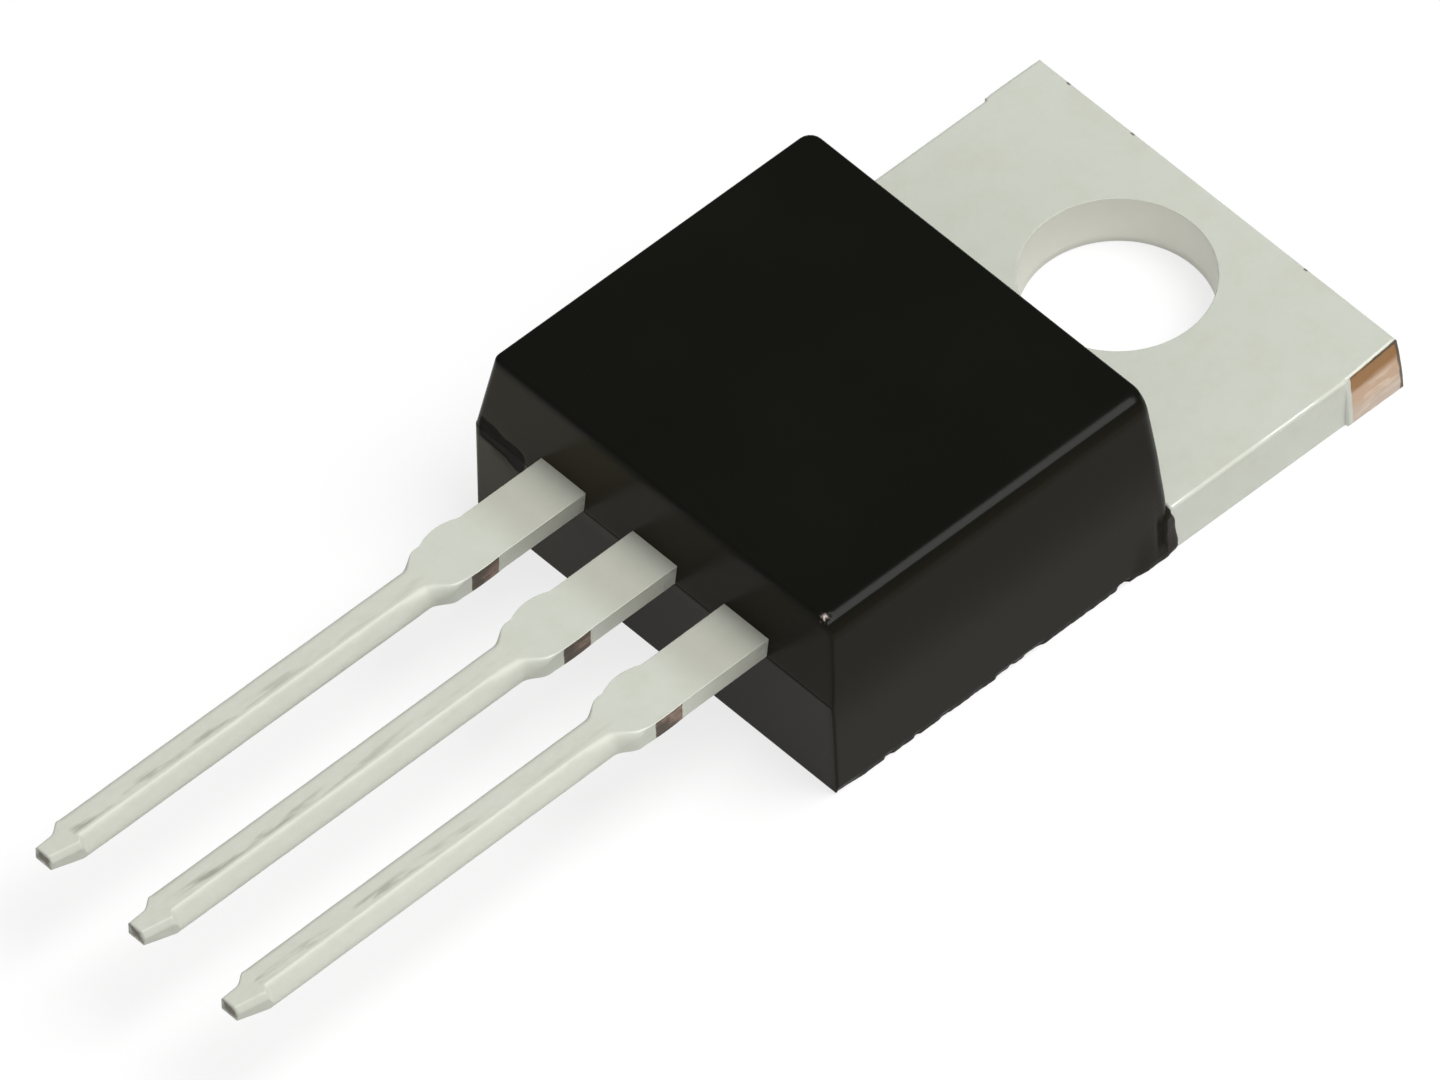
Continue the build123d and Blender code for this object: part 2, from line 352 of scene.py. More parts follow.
class Flow:
    """A socket of a node tree that plain arithmetic works on."""

    def __init__(self, tree, socket=None):
        self.tree = tree
        self.socket = socket

    def node(self, kind, settings=None, inputs=None, output=0):
        """A new node: its settings first, then the values or links of its sockets."""
        made = self.tree.nodes.new(kind)
        for name, value in (settings or {}).items():
            setattr(made, name, value)
        for name, value in (inputs or {}).items():
            if isinstance(value, Flow):
                self.tree.links.new(value.socket, made.inputs[name])
            else:
                made.inputs[name].default_value = value
        return Flow(self.tree, made.outputs[output])

    def math(self, operation, *values):
        """The result of a Math node on these values."""
        return self.node("ShaderNodeMath", {"operation": operation}, dict(enumerate(values)))

    def __add__(self, other):
        return self.math("ADD", self, other)

    __radd__ = __add__

    def __sub__(self, other):
        return self.math("SUBTRACT", self, other)

    def __rsub__(self, other):
        return self.math("SUBTRACT", other, self)

    def __mul__(self, other):
        return self.math("MULTIPLY", self, other)

    __rmul__ = __mul__

    def __truediv__(self, other):
        return self.math("DIVIDE", self, other)

    def __gt__(self, other):
        return self.math("GREATER_THAN", self, other)

    def __lt__(self, other):
        return self.math("LESS_THAN", self, other)

    def clamp(self):
        """This value, but at least 0 and at most 1."""
        return self.math("MINIMUM", self.math("MAXIMUM", self, 0.0), 1.0)

    def ramp(self, low, high, start=0.0, end=1.0):
        """Smooth step from start to end as the value goes from low to high."""
        sockets = {"Value": self, "From Min": low, "From Max": high, "To Min": start, "To Max": end}
        return self.node("ShaderNodeMapRange", {"interpolation_type": "SMOOTHSTEP"}, sockets)

    def noise(self, scale, detail=3.0, roughness=0.5):
        """Cloudy values round 0.5, at this position."""
        sockets = {"Vector": self, "Scale": scale, "Detail": detail, "Roughness": roughness}
        return self.node("ShaderNodeTexNoise", {}, sockets)

    def mix(self, first, second):
        """Colour between two, with this value as the share of the second."""
        return self.node("ShaderNodeMix", {"data_type": "RGBA"}, {0: self, 6: first, 7: second}, 2)

    def part(self, axis):
        """This vector's x, y or z, as axis is 0, 1 or 2."""
        return self.node("ShaderNodeSeparateXYZ", {}, {0: self}, axis)

    def scaled(self, x, y, z):
        """This vector, with each direction scaled."""
        return self.node("ShaderNodeVectorMath", {"operation": "MULTIPLY"}, {0: self, 1: (x, y, z)})

    def attribute(self, name):
        """The number that a mesh's points carry under this name."""
        return self.node("ShaderNodeAttribute", {"attribute_name": name}, {}, "Fac")

    def bump(self, height, strength, distance):
        """A normal tilted by a height."""
        sockets = {"Height": height, "Strength": strength, "Distance": distance}
        return self.node("ShaderNodeBump", {}, sockets)


def new_material(name, constants):
    """A material with its shader's fixed values set, and its object coordinates."""
    made = bpy.data.materials.new(name)
    made.use_nodes = True
    shader = made.node_tree.nodes["Principled BSDF"]
    for socket, value in constants.items():
        shader.inputs[socket].default_value = value
    here = Flow(made.node_tree).node("ShaderNodeTexCoord", {}, {}, "Object")
    return made, shader, here


def feed(shader, **links):
    """Links flows to the shader's sockets."""
    for name, flow in links.items():
        flow.tree.links.new(flow.socket, shader.inputs[name.replace("_", " ")])


def epoxy_material():
    """Polished dark top, paler walls that partly stand in for painted reflection of the table,
    painted shade in the gate's scar and the groove, a painted highlight at the dented near right
    corner, and matt where the compound has torn or been knocked off.
    """
    constants = {"Metallic": 0.0, "Specular IOR Level": 0.05}
    made, shader, here = new_material("moulded_epoxy", constants)
    cloud = here.noise(260.0, 3.0)
    grain = here.noise(5200.0, 4.0, 0.6)
    across, height_up = here.part(0), here.part(2)
    moulded_side = height_up.ramp(0.0042, 0.00447, 1.0, 0.0)
    broken = (here.attribute("broken") + (here.noise(4000.0) - 0.5) * 0.5).ramp(0.35, 0.6)
    polished = cloud.mix((0.0044, 0.0048, 0.0036, 1), (0.0070, 0.0071, 0.0056, 1))
    # Painted reflection: the walls are paler than the top, partly a hazier finish and partly
    # standing in for the table mirrored in them.
    bloom_and_reflection = cloud.mix((0.0100, 0.0085, 0.0054, 1), (0.0124, 0.0106, 0.0070, 1))
    # Painted reflection: the walls lighter towards the left, most of all low down.
    below = height_up.ramp(0.0021, 0.0025, 1.0, 0.0)
    painted_low_reflection = across.ramp(-0.0048, -0.0010, 1.0, 0.0) * below
    painted_high_reflection = across.ramp(-0.0048, 0.0040, 0.58, 0.0) * (1 - below)
    bloom_and_reflection = (painted_low_reflection + painted_high_reflection).mix(bloom_and_reflection, (0.036, 0.031, 0.019, 1))
    smooth = moulded_side.mix(polished, bloom_and_reflection)
    # The torn colour is the torn flash's own, and painted shade in the gate's scar and the groove.
    torn = grain.mix((0.0022, 0.0014, 0.0002, 1), (0.0065, 0.0048, 0.0014, 1))
    chipped = here.attribute("chipped")
    chip_and_glint_spread = chipped * 0.8 + (here.noise(14000.0, 3.0) - 0.5) * 1.8
    # Painted highlight: the pale end of this mix, in the corner's dent and the dot at the near left
    # corner.
    fresh_and_glint = chip_and_glint_spread.ramp(0.55, 1.15).mix((0.035, 0.026, 0.022, 1), (0.52, 0.45, 0.42, 1))
    chip_and_glint_mask = chip_and_glint_spread.ramp(0.3, 0.6) * (chipped > 0.02)
    colour = chip_and_glint_mask.mix(broken.mix(smooth, torn), fresh_and_glint)
    rough = 0.15 + cloud * 0.10 + broken * 0.35 + grain * 0.05
    height = grain * (0.25 + broken) + here.noise(900.0, 2.0) * 0.5
    feed(shader, Base_Color=colour, Roughness=rough, Normal=here.bump(height, 0.12, 0.00002))
    return made


moulded_epoxy = epoxy_material()
body_shell = join_meshes("moulded_body", [body_mesh(), notch_fill(-1), notch_fill(1)])
place("moulded_body", body_shell, moulded_epoxy, "mould_epoxy", "mould_body")

# ---- Tinned lead frame: finish ----
# Thick and thin copper strip, stamped, then tin-plated: satin warm grey, with bare copper only
# where a tie bar, a dambar or a lead's end was sheared off after plating.


def tin_material():
    """Mottled satin tin, with painted shade at the roots and on the leads' sides near the body, a
    hole wall painted lighter, and copper and stained marks where it was sheared.
    """
    made, shader, here = new_material("tinned_copper", {"Specular IOR Level": 0.5})
    cloud = here.noise(180.0, 3.0)
    mottle = here.noise(1400.0, 4.0, 0.6)
    grain = here.noise(9000.0, 3.0, 0.6)
    edge_noise = (here.noise(5000.0, 3.0) - 0.5) * 0.5
    bare = (here.attribute("bare") + edge_noise).ramp(0.42, 0.58)
    # The dark marks are the sheared metal's own, and painted shade on the leads' sides near the
    # body.
    stain = (here.attribute("stain") + edge_noise * 1.4).ramp(0.35, 0.75)
    tin = cloud.mix((0.458, 0.476, 0.411, 1), (0.512, 0.524, 0.469, 1))
    tin = (mottle.ramp(0.35, 0.8) * 0.5).mix(tin, (0.422, 0.434, 0.362, 1))
    # Painted shade: the leads darker near the body.
    tin = (here.attribute("dull") * 0.52).mix(tin, (0.29, 0.285, 0.232, 1))
    burnished, dipped, across = (here.attribute(mark) for mark in ("burnished", "dipped", "across"))
    # Painted light: the hole's wall is given a lighter colour.
    tin = burnished.mix(tin, (0.62, 0.62, 0.55, 1))
    tin = (dipped * 0.6).mix(tin, (0.455, 0.462, 0.405, 1))
    run = here.node("ShaderNodeCombineXYZ", {}, {0: across * 7, 1: here.attribute("along") * 0.9})
    beside_ridge = across.ramp(-0.12, -0.01) * across.ramp(0.06, 0.13, 1.0, 0.0)
    streaks = run.noise(1.0, 4.0).ramp(0.44, 0.66) * beside_ridge * here.attribute("worn")
    tin = streaks.mix(tin, (0.27, 0.268, 0.22, 1))
    streak = here.scaled(1, 1.5, 6).noise(900.0, 4.0)
    height_up = here.part(2) + (streak - 0.5) * 0.0004
    smeared = streak.ramp(0.4, 0.62).mix((0.52, 0.36, 0.25, 1), (0.66, 0.53, 0.41, 1))
    smeared = height_up.ramp(0.0001, 0.0006, 0.6, 0.0).mix(smeared, (0.52, 0.46, 0.41, 1))
    copper = height_up.ramp(0.0007, 0.00095).mix(smeared, (0.30, 0.155, 0.06, 1))
    lead_copper = streak.ramp(0.4, 0.7).mix((0.10, 0.07, 0.05, 1), (0.30, 0.20, 0.15, 1))
    copper = (height_up > 0.002).mix(copper, lead_copper)
    metal = bare.mix(tin, copper)
    colour = (stain * 0.85).mix(metal, (0.10, 0.085, 0.07, 1))
    rolled = here.attribute("rolled") * here.noise(1300.0, 3.0).ramp(0.38, 0.58, -0.22, 0.20)
    rough = 0.40 + mottle * 0.10 - bare * 0.06 + stain * 0.2 + dipped * 0.14 + rolled
    height = grain * 0.4 + mottle * 1.5 + here.noise(4000.0, 2.0) * (0.8 + dipped * 3)
    height = height + bare * streak * 2.5
    feed(shader, Base_Color=colour, Roughness=rough, Normal=here.bump(height, 0.4, 0.00001))
    feed(shader, Metallic=0.08 + bare * 0.67 + burnished * 0.7)
    return made


tinned_copper = tin_material()

# ---- Leads outside the body ----
# The three leads are stamped alike from the thin strip: a wide root, the stubs of the cut dambar,
# curved shoulders, and a narrow part that hot tin has rounded, cut to a taper at its tip.

lead_pitch = 2.54
lead_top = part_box("anode_lead_left")[1].z / MM
lead_sizes = {
    "Length": 13.42, "Root Depth": 0.14, "Thickness": lead_thickness,
    "Root Width": 1.24, "Narrow Width": 0.84, "Waviness": 0.012,
    "Stub Start": 2.10, "Stub End": 3.12, "Stub Left": 0.12, "Stub Right": 0.02,
    "Shoulder Start": 3.26, "Shoulder End": 3.80, "Edge Radius": 0.012,
    "Top Radius": 0.13, "Bottom Radius": 0.07, "Slope Across": 0.26, "Slope Down": 0.34,
    "Tip Length": 0.74, "Tip Shoulder": 0.36, "Tip Width": 0.44, "Tip Thickness": 0.32,
}
lead_droop = math.radians(0.5)
lead_splay = math.radians(0.2)
corner_steps, length_steps = 10, 300


def lead_tree():
    """Geometry nodes for one lead: a grid bent round a rounded section that varies along it."""
    tree = bpy.data.node_groups.new("stamped_lead", "GeometryNodeTree")
    sockets = dict.fromkeys([*lead_sizes, "Seed"], "Float")
    sockets.update({"Turn": "Vector", "Exit": "Vector", "Finish": "Material"})
    for name, kind in sockets.items():
        tree.interface.new_socket(name=name, in_out="INPUT", socket_type="NodeSocket" + kind)
    tree.interface.new_socket(name="Geometry", in_out="OUTPUT", socket_type="NodeSocketGeometry")
    group = tree.nodes.new("NodeGroupInput")
    given = {s.name: Flow(tree, s) for s in group.outputs if s.name}
    arc, along = corner_steps, length_steps
    corner_points = arc + 3
    around = 4 * corner_points
    grid_sizes = {"Size X": 1.0, "Size Y": 1.0, "Vertices X": around + 1, "Vertices Y": along + 3}
    start = Flow(tree)
    shaped = start.node("GeometryNodeMeshGrid", {}, grid_sizes)
    position = start.node("GeometryNodeInputPosition")
    # i counts points round the section and k sections along the lead, with a cap at each end.
    column = (position.part(0) + 0.5) * around
    row = (position.part(1) + 0.5) * (along + 2)
    i, k = column.math("ROUND", column), row.math("ROUND", row)
    quarter = i.math("FLOOR", i / corner_points)
    j = i - quarter * corner_points
    angle = (quarter + ((j - 1) / arc).clamp()) * (math.pi / 2)
    middle = (quarter + 0.5) * (math.pi / 2)
    flank = (j > arc + 1.5) - (j < 0.5)
    right = i.math("SIGN", i.math("COSINE", middle))
    front = i.math("SIGN", i.math("SINE", middle))
    cosine, sine = i.math("COSINE", angle), i.math("SINE", angle)
    root = given["Root Depth"]
    distance = ((k - 1) / along).clamp() * (given["Length"] + root) - root
    body = (k > 0.5) * (k < along + 1.5)
    narrow = distance.ramp(given["Shoulder Start"], given["Shoulder End"])
    stub_length = given["Stub End"] - given["Stub Start"]
    stub_share = ((distance - given["Stub Start"]) / stub_length).clamp()
    stub_side = (given["Stub Right"] * (1 + right) + given["Stub Left"] * (1 - right)) / 2
    stub = stub_share * (1 - stub_share) * 4 * stub_side
    tip_start = given["Length"] - given["Tip Length"]
    taper = ((distance - tip_start) / given["Tip Length"]).clamp()
    path = start.node("ShaderNodeCombineXYZ", {}, {0: distance * 0.9, 1: given["Seed"], 2: right})
    wave = path.noise(1.0, 2.0) * given["Waviness"] * (narrow * (1 - taper))
    half = given["Root Width"] * (1 - narrow) / 2 + given["Narrow Width"] * narrow / 2 + stub - wave
    coined = distance.ramp(tip_start - 0.03, tip_start + 0.08)
    pinched = distance.ramp(tip_start - 0.02, given["Tip Shoulder"] + tip_start)
    narrowed = pinched * (right < 0) + taper * (right > 0)
    half = half * (1 - narrowed) + given["Tip Width"] / 2 * narrowed
    deep = given["Thickness"] / 2 * (1 - taper) + given["Tip Thickness"] / 2 * taper - wave * 0.5
    worn_corner = (right > 0) * (front > 0)
    own_radius = given["Top Radius"] * ((right < 0) * (front > 0))
    own_radius = own_radius + given["Bottom Radius"] * (front < 0)
    rounded = narrow * (1 - coined * 0.6)
    stamped = given["Edge Radius"] * (1 - narrow)
    sloped = worn_corner * distance.ramp(given["Shoulder Start"] - 0.3, given["Shoulder End"])
    sloped = sloped * (1 - coined * 0.6)
    wide = stamped + rounded * own_radius + given["Slope Across"] * sloped
    tall = stamped + rounded * own_radius + given["Slope Down"] * sloped
    creased = distance.ramp(given["Shoulder End"] - 0.2, given["Shoulder End"] + 1.0, 0.0, 0.42)
    bulge = 1 - worn_corner * creased * cosine * sine
    side_step = flank * 0.02
    x = (right * (half - wide) + cosine * wide * bulge - side_step * sine) * body
    z = (front * (deep - tall) + sine * tall * bulge + side_step * cosine) * body
    moved = start.node("ShaderNodeCombineXYZ", {}, {0: x, 1: 0 - distance, 2: z})
    cut_side = (cosine * cosine).ramp(0.85, 1.0)
    window = distance.ramp(given["Stub Start"] + 0.02, given["Stub Start"] + 0.20)
    window = window * distance.ramp(given["Stub End"] - 0.30, given["Stub End"] - 0.12, 1.0, 0.0)
    # Painted shade: the leads' sides darker near the body.
    root_flank_shade = cut_side * distance.ramp(0.0, 1.1, 0.42, 0.0)
    sheared_end = (k > along + 0.5) * 0.42 + (k > along + 1.5) * 0.58
    smear_fade = distance.ramp(given["Stub Start"] + 0.2, given["Stub End"] - 0.3, 0.42, 0.7)
    marks = {
        "bare": cut_side * window,
        "stain": root_flank_shade + sheared_end + cut_side * window * smear_fade,
        # Painted shade: darker near the body.
        "dull": distance.ramp(-0.1, 0.8, 0.4, 1.0) * distance.ramp(1.1, 2.2, 1.0, 0.0),
        "dipped": narrow,
        "across": x,
        "along": distance + given["Seed"] * 10,
        "worn": narrow * (1 - coined) * (z > 0) * distance.ramp(4.0, 12.0, 0.2, 1.0),
    }
    number = {"data_type": "FLOAT", "domain": "POINT"}
    for name, value in marks.items():
        stored = {"Geometry": shaped, "Name": name, "Value": value}
        shaped = start.node("GeometryNodeStoreNamedAttribute", number, stored)
    for kind, inputs in (
        ("SetPosition", {"Position": moved}),
        ("MergeByDistance", {"Distance": 0.001}),
        ("Transform", {"Translation": given["Exit"], "Rotation": given["Turn"]}),
        ("Transform", {"Scale": (MM, MM, MM)}),
        ("RealizeInstances", {}),
        ("SetMaterial", {"Material": given["Finish"]}),
    ):
        shaped = start.node("GeometryNode" + kind, {}, {"Geometry": shaped, **inputs})
    out = tree.nodes.new("NodeGroupOutput")
    tree.links.new(shaped.socket, out.inputs["Geometry"])
    return tree


stamped_lead = lead_tree()


def lead_mesh(side):
    """One lead outside the body, as a plain mesh; side is -1, 0 or 1."""
    holder = bpy.data.objects.new("lead_holder", bpy.data.meshes.new("lead_holder"))
    bpy.context.scene.collection.objects.link(holder)
    modifier = holder.modifiers.new("stamped_lead", "NODES")
    modifier.node_group = stamped_lead
    exit_point = (side * lead_pitch, body_low.y + ledge, lead_top - lead_sizes["Thickness"] / 2)
    values = {**lead_sizes, "Seed": 4.0 + 3 * side, "Turn": (lead_droop, 0.0, side * lead_splay)}
    values.update({"Exit": exit_point, "Finish": tinned_copper})
    for socket in stamped_lead.interface.items_tree:
        if socket.in_out == "INPUT":
            modifier[socket.identifier] = values[socket.name]
    bpy.context.view_layer.update()
    evaluated = holder.evaluated_get(bpy.context.evaluated_depsgraph_get())
    mesh = bpy.data.meshes.new_from_object(evaluated)
    holder.modifiers.remove(modifier)
    bpy.data.objects.remove(holder)
    return mesh


def inner_copy(node, *cuts):
    """The part of a CAD node's mesh on the kept side of each cutting plane, closed again."""
    bm = bmesh.new()
    bm.from_mesh(frame["nodes"][node].data)
    bmesh.ops.remove_doubles(bm, verts=bm.verts, dist=1e-7)
    for point, normal in cuts:
        plane = {"plane_co": point, "plane_no": normal, "clear_inner": True}
        cut = bmesh.ops.bisect_plane(bm, geom=bm.verts[:] + bm.edges[:] + bm.faces[:], **plane)
        edges = [e for e in cut["geom_cut"] if isinstance(e, bmesh.types.BMEdge)]
        bmesh.ops.holes_fill(bm, edges=edges, sides=0)
    bmesh.ops.recalc_face_normals(bm, faces=bm.faces)
    mesh = bpy.data.meshes.new(node + "_inner")
    bm.to_mesh(mesh)
    bm.free()
    return mesh


behind_face = (Vector((0, body_low.y + ledge + lead_sizes["Root Depth"], 0)) * MM, (0, 1, 0))
for side, name in ((-1, "anode_lead_left"), (1, "anode_lead_right")):
    lead = join_meshes(name, [lead_mesh(side), inner_copy(name, behind_face)])
    place("formed_" + name, lead, tinned_copper, "tinned_copper", name)

# ---- Heat spreader ----
# The thick end of the strip: the tab with its screw hole, and the die paddle inside the body. The
# punch has rolled its front edges over, and the tie bars have torn off at its two far corners.

mounts = {mount["name"]: mount for mount in frame["record"]["mounts"]}
hole_radius = mounts["tab_hole"]["dims"]["r_mm"]
tab_half = body_high.x - 0.02
tab_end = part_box("cathode_frame")[1].y / MM
tie_length = 1.46
tie_left_front, tie_right_front, tie_back = 0.06, -0.02, 0.07
tie_lean = 0.11            # the right tie bar's front edge falls back towards the far corner
tie_lip = 0.11             # tin dragged over the near end of the torn face
edge_nicks = (-4.2, -2.4, 2.4)
notch_y = far_face + 0.05
notch_half = tab_half - 0.32
notch_end = body_high.y - 0.62
tie_root = 0.35            # the torn ends' lean dies away over this width
paddle_half = body_high.x - 0.72
paddle_y = body_low.y + ledge + 2.35
roll_radius = 0.07
hole_roll = 0.012
corner_gap = 0.13          # no outline point is nearer a corner than the rolled edge is wide
outline_step = 0.055
back_radius = 0.03
inner_levels = 12          # rings that are too near the hole for a torn end to move
hole_wall = range(1, 6)


def plate_outline():
    """Points round the plate, with the way each edge faces; corners have both ways added."""
    right_half = [(paddle_half, paddle_y), (paddle_half, notch_end), (notch_half, notch_end)]
    right_half += [(notch_half, notch_y), (tab_half, notch_y), (tab_half, tab_end)]
    left_half = [(-x, y) for x, y in right_half[::-1]]
    corners = np.array(right_half[4:] + left_half + right_half[:4])
    points, facing = [], []
    for n, a in enumerate(corners):
        b, before = corners[(n + 1) % len(corners)], corners[n - 1]
        out = np.array(((b - a)[1], -(b - a)[0])) / np.linalg.norm(b - a)
        out_before = np.array(((a - before)[1], -(a - before)[0])) / np.linalg.norm(a - before)
        points.append(a)
        facing.append(out + out_before)
        length = np.linalg.norm(b - a)
        gap, count = corner_gap / length, max(int(length / outline_step), 2)
        stops = list(np.linspace(gap, 1 - gap, count))
        if abs(a[0]) == tab_half and a[0] == b[0]:
            tie_share = (tab_end - tie_length - a[1]) / (b[1] - a[1])
            stops = sorted(stops + [tie_share - 0.001, tie_share + 0.001])
        for t in stops:
            points.append(a + (b - a) * t)
            facing.append(out)
    return np.array(points), np.array(facing)


def torn_tie(x, y, z):
    """How far the torn end of a tie bar stands out of the tab's side, in millimetres."""
    if y < tab_end - tie_length or abs(x) < tab_half - tie_root:
        return 0.0
    along = (y - tab_end + tie_length) / tie_length
    front = tie_right_front - tie_lean * along if x > 0 else tie_left_front
    share = z / tab_top
    tear = 0.012 * ripple(0, y, z, 3.0, 21) + 0.006 * ripple(0, y, z, 11.0, 22)
    return tie_back + (front - tie_back) * share ** 1.5 + min(tear, 0.0)


def plate_mesh():
    """The plate as one closed skin: up the hole's wall, over the front face, back underneath."""
    outline, facing = plate_outline()
    angles = np.arctan2(outline[:, 1], outline[:, 0])
    round_hole = np.stack([np.cos(angles), np.sin(angles)], 1)

    def ring(hole_part, inset, z):
        """Ring at a height: hole_part is a radius, or None for the outline moved in by inset."""
        flat = round_hole * hole_part if hole_part else outline - facing * inset
        return [(x, y, z) for x, y in flat]

    rings = [ring(hole_radius + back_radius, 0, 0.0), ring(hole_radius, 0, back_radius)]
    rings += [ring(hole_radius, 0, z) for z in (0.3, 0.7, tab_top - hole_roll)]
    for turn in np.linspace(0.2, math.pi / 2, 6):
        rolled = hole_radius + hole_roll * (1 - math.cos(turn))
        rings.append(ring(rolled, 0, tab_top - hole_roll * (1 - math.sin(turn))))
    flat_from, flat_inset = hole_radius + hole_roll + 0.03, roll_radius + 0.02
    rings.append(ring(flat_from, 0, tab_top))
    inner = round_hole * flat_from
    outer = outline - facing * flat_inset
    for share in (0.25, 0.5, 0.75):
        rings.append([(x, y, tab_top) for x, y in inner + (outer - inner) * share])
    rings.append(ring(None, flat_inset, tab_top))
    for turn in np.linspace(math.pi / 2, 0, 7):
        drop = roll_radius * (1 - math.sin(turn))
        rings.append(ring(None, roll_radius * (1 - math.cos(turn)), tab_top - drop))
    rings += [ring(None, 0, z) for z in np.linspace(tab_top - roll_radius - 0.04, 0.08, 16)]
    rings += [ring(None, 0, back_radius), ring(None, 0.4 * back_radius, 0.006)]
    rings.append(ring(None, back_radius, 0.0))
    mid_back = (outline + round_hole * hole_radius) / 2
    rings.append([(x, y, 0.0) for x, y in mid_back])
    marks = {name: [] for name in ("bare", "stain", "rolled", "burnished")}
    tie_start = tab_end - tie_length
    torn_from = tie_start + tie_lip
    for level, points in enumerate(rings):
        for n, (x, y, z) in enumerate(points):
            out = torn_tie(x, y, z) if level > inner_levels else 0.0
            if out:
                fade = 1 - ramp_up(tab_half - abs(x), 0.0, tie_root)
                points[n] = (x + math.copysign(1, x) * out * fade, y, z)
            on_side = abs(outline[n][0] - x) < 0.04 and abs(x) > tab_half - 0.1
            torn = out and on_side and z < tab_top - 0.03
            marks["bare"].append(float(torn and y > torn_from))
            border = 0.45 + 0.4 * ramp_up(y, torn_from, tab_end) if z > tab_top - 0.1 else 0.0
            border = max(border, 1.2 * (y > tab_end - 0.05), 0.4 * (abs(y - torn_from) < 0.03))
            at_edge = y > tab_end - 0.08 and z > tab_top - 0.12
            nicked = at_edge and any(abs(x - nick) < 0.06 for nick in edge_nicks)
            edging = border if torn and y > torn_from - 0.03 else 0.0
            marks["stain"].append(max(edging, 0.9 * nicked))
            on_roll = level > inner_levels and 0 < tab_top - z < roll_radius + 0.01
            marks["rolled"].append(float(on_roll and y < tie_start))
            # Painted light: marks the hole's wall for a lighter colour.
            marks["burnished"].append(float(level in hole_wall))
    rings.append(list(rings[0]))
    mesh = shell_mesh("plate", rings, closed_ends=False)
    mesh.flip_normals()
    for name, values in marks.items():
        paint_points(mesh, name, values + values[:len(outline)])
    for lead_mark in ("dull", "dipped", "across", "along", "worn"):
        paint_points(mesh, lead_mark, [0.0] * len(mesh.vertices))
    return mesh


neck_half = 1.0
at_paddle = (Vector((0, paddle_y + 0.03, 0)) * MM, (0, -1, 0))
neck_left = (Vector((-neck_half, 0, 0)) * MM, (1, 0, 0))
neck_right = (Vector((neck_half, 0, 0)) * MM, (-1, 0, 0))
neck = inner_copy("cathode_frame", behind_face, at_paddle, neck_left, neck_right)
spreader = join_meshes("heat_spreader", [plate_mesh(), neck, lead_mesh(0)], merge=1e-7)
place("heat_spreader", spreader, tinned_copper, "tinned_copper", "cathode_frame")

# ---- Dies and die attach ----
# Two square silicon chips, metallised on both faces, each soldered to the paddle inside the body.
# They are sealed in the mould, so only their finish is added to the solids of the frame.


def silicon_material():
    """Grey metallised silicon with a faint cloud."""
    made, shader, here = new_material("metallised_silicon", {"Metallic": 0.55})
    lattice = here.noise(3000.0, 2.0)
    colour = lattice.mix((0.20, 0.21, 0.24, 1), (0.26, 0.27, 0.31, 1))
    feed(shader, Base_Color=colour, Roughness=0.25 + lattice * 0.1)
    feed(shader, Normal=here.bump(lattice, 0.1, 0.000005))
    return made


def solder_material():
    """Dull, slightly crusted lead-rich solder."""
    made, shader, here = new_material("dull_solder", {"Metallic": 1.0})
    crust = here.noise(2500.0, 5.0, 0.65)
    colour = crust.mix((0.36, 0.36, 0.36, 1), (0.52, 0.51, 0.49, 1))
    feed(shader, Base_Color=colour, Roughness=0.45 + crust * 0.2)
    feed(shader, Normal=here.bump(crust, 0.4, 0.00001))
    return made


def refinish(node, material):
    """Gives a solid of the frame its real finish."""
    materials = frame["nodes"][node].data.materials
    materials.clear()
    materials.append(material)


metallised_silicon = silicon_material()
dull_solder = solder_material()
for side in ("left", "right"):
    refinish("die_" + side, metallised_silicon)
    refinish("die_solder_" + side, dull_solder)

# ---- Bond wires ----
# Heavy aluminium wire, two to each die, wedge-bonded to the die and to the lead's post. They too
# are sealed in the mould.


def wire_material():
    """Bright drawn aluminium, with fine lines along the wire."""
    made, shader, here = new_material("drawn_aluminium", {"Metallic": 1.0})
    drawn = here.scaled(1, 0.08, 1).noise(9000.0, 3.0)
    colour = drawn.mix((0.78, 0.78, 0.79, 1), (0.86, 0.86, 0.87, 1))
    feed(shader, Base_Color=colour, Roughness=0.28 + drawn * 0.12)
    feed(shader, Normal=here.bump(drawn, 0.15, 0.000005))
    return made


drawn_aluminium = wire_material()
for side in ("left", "right"):
    for post in ("inner", "outer"):
        refinish(f"bond_wire_{side}_{post}", drawn_aluminium)

# ---- Table, light and camera ----
# A plain white table under one large round soft box, which hangs overhead and a little behind,
# with a pale wall in front that the near faces mirror.

table_half = 0.35
table_gap = 0.00001        # the part's back face clears the table by this, in metres
table_glow = 0.78          # how much of what is seen of the table is plain white
bm = bmesh.new()
bmesh.ops.create_grid(bm, x_segments=1, y_segments=1, size=table_half)
table_mesh = bpy.data.meshes.new("table")
bm.to_mesh(table_mesh)
bm.free()
table_mesh.transform(Matrix.Translation((0, 0, -table_gap)))
table_top = bpy.data.objects.new("table", table_mesh)
bpy.context.scene.collection.objects.link(table_top)


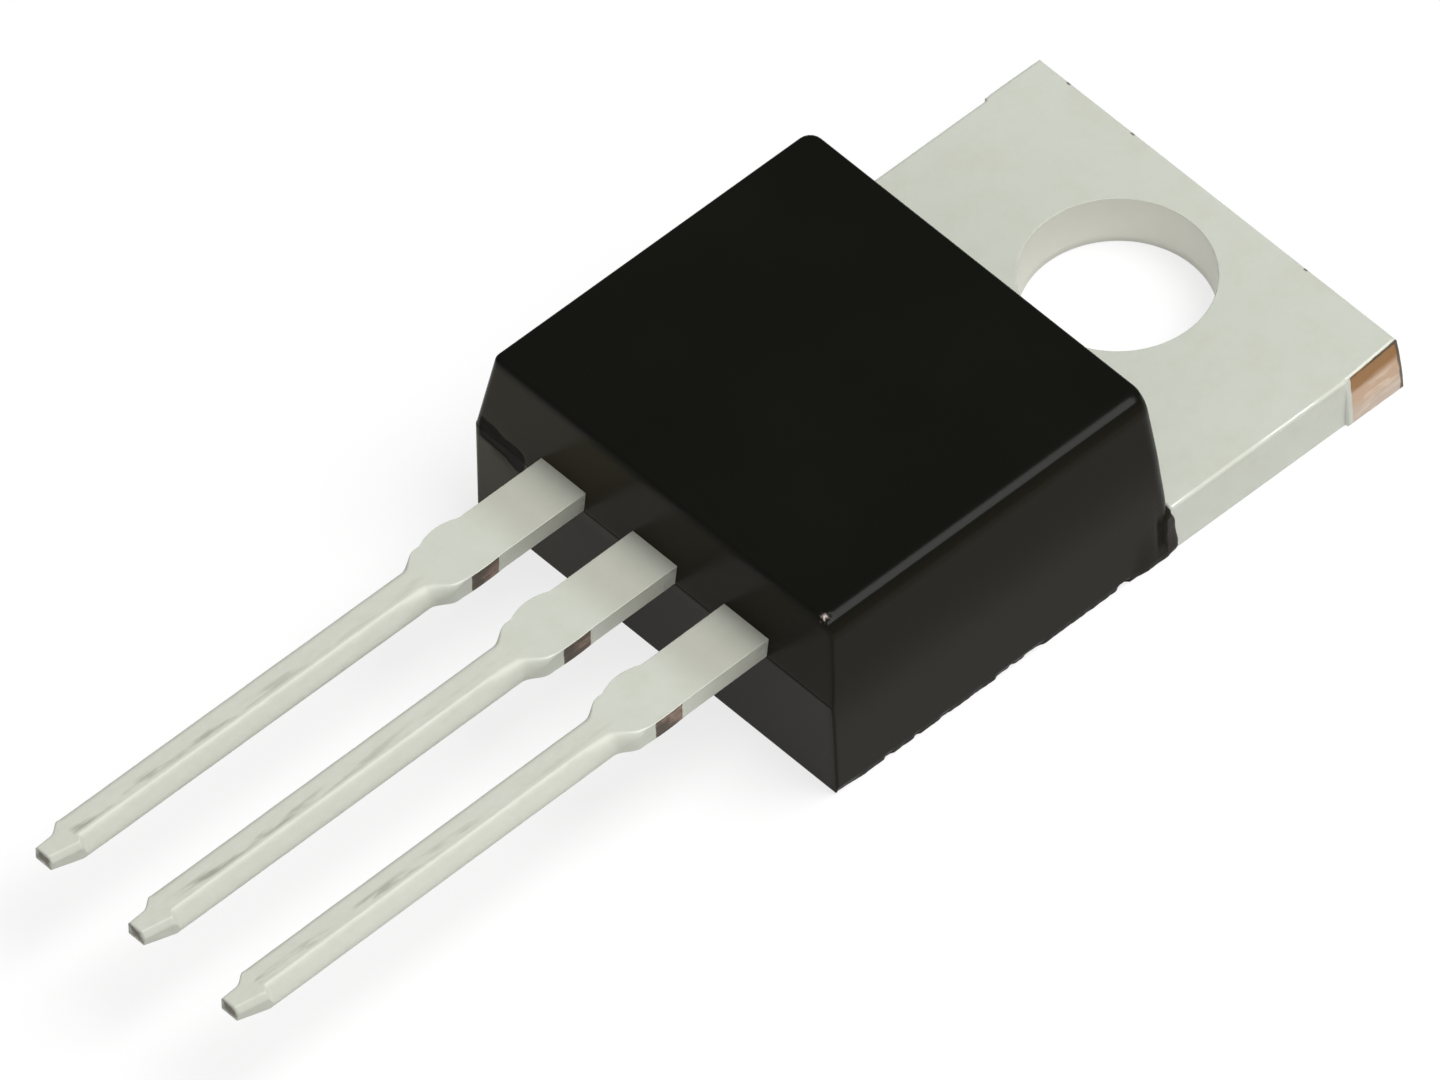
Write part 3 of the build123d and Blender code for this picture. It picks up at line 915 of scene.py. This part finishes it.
def table_material():
    """Matt white that is seen mostly as plain white, and still takes a soft shadow."""
    made = bpy.data.materials.new("white_table")
    made.use_nodes = True
    tree = made.node_tree
    shader = tree.nodes["Principled BSDF"]
    shader.inputs["Base Color"].default_value = (0.76, 0.76, 0.755, 1)
    shader.inputs["Roughness"].default_value = 0.9
    shader.inputs["Specular IOR Level"].default_value = 0.1
    start = Flow(tree)
    seen = [start.node("ShaderNodeLightPath", {}, {}, name) for name in
            ("Is Camera Ray", "Is Glossy Ray", "Is Transmission Ray")]
    white = start.node("ShaderNodeEmission", {}, {"Color": (1, 1, 1, 1), "Strength": 1.0})
    share = (seen[0] + seen[1] + seen[2]).clamp() * table_glow
    both = tree.nodes.new("ShaderNodeMixShader")
    tree.links.new(share.socket, both.inputs[0])
    tree.links.new(shader.outputs[0], both.inputs[1])
    tree.links.new(white.socket, both.inputs[2])
    tree.links.new(both.outputs[0], tree.nodes["Material Output"].inputs["Surface"])
    return made


table_mesh.materials.append(table_material())

lamp_way = Vector((0.30, 0.30, 0.905)).normalized()
lamp_aim = Vector((0, -8.0, 1.0)) * MM
lamp_distance = 0.5
lamp = bpy.data.lights.new("overhead_box", "AREA")
lamp.shape = "DISK"
lamp.size = 0.36
lamp.energy = 3.7
lamp_stand = bpy.data.objects.new("overhead_box", lamp)
bpy.context.scene.collection.objects.link(lamp_stand)
lamp_stand.location = lamp_aim + lamp_way * lamp_distance
lamp_stand.rotation_euler = lamp_way.to_track_quat("Z", "Y").to_euler()

world = bpy.data.worlds.new("room")
bpy.context.scene.world = world
world.use_nodes = True
world_tree = world.node_tree
direction = Flow(world_tree).node("ShaderNodeTexCoord", {}, {}, "Generated")
sideways, depthways, height = (direction.part(axis) for axis in range(3))
front_wall = sideways * 0.3 - depthways * 0.95
shade = height.ramp(-0.1, 0.25, 0.45, 0.03) + front_wall.ramp(0.2, 0.9, 0.0, 0.9)
background = world_tree.nodes["Background"]
world_tree.links.new(shade.socket, background.inputs["Color"])

camera_angles = (47.32, 49.26, -0.85)
camera_distance = 868.8
focal_length = 1136.95
aim_point = Vector((0, -8.23, 2.0))
aim_shift = (-1.640, -1.259)
azimuth, elevation, roll = (math.radians(angle) for angle in camera_angles)
back = Vector((
    math.sin(azimuth) * math.cos(elevation),
    -math.cos(azimuth) * math.cos(elevation),
    math.sin(elevation),
))
level_right = Vector((math.cos(azimuth), math.sin(azimuth), 0))
level_up = back.cross(level_right)
right = level_right * math.cos(roll) + level_up * math.sin(roll)
up = level_up * math.cos(roll) - level_right * math.sin(roll)
camera = bpy.data.cameras.new("camera")
camera.sensor_width = 36
camera.lens = focal_length
camera.clip_start, camera.clip_end = 0.01, 10
camera_stand = bpy.data.objects.new("camera", camera)
turned = Matrix((right, up, back)).transposed().to_4x4()
camera_spot = (aim_point + right * aim_shift[0] + up * aim_shift[1] + back * camera_distance) * MM
camera_stand.matrix_world = Matrix.Translation(camera_spot) @ turned
bpy.context.scene.collection.objects.link(camera_stand)
bpy.context.scene.camera = camera_stand
bpy.context.scene.view_settings.view_transform = "Standard"
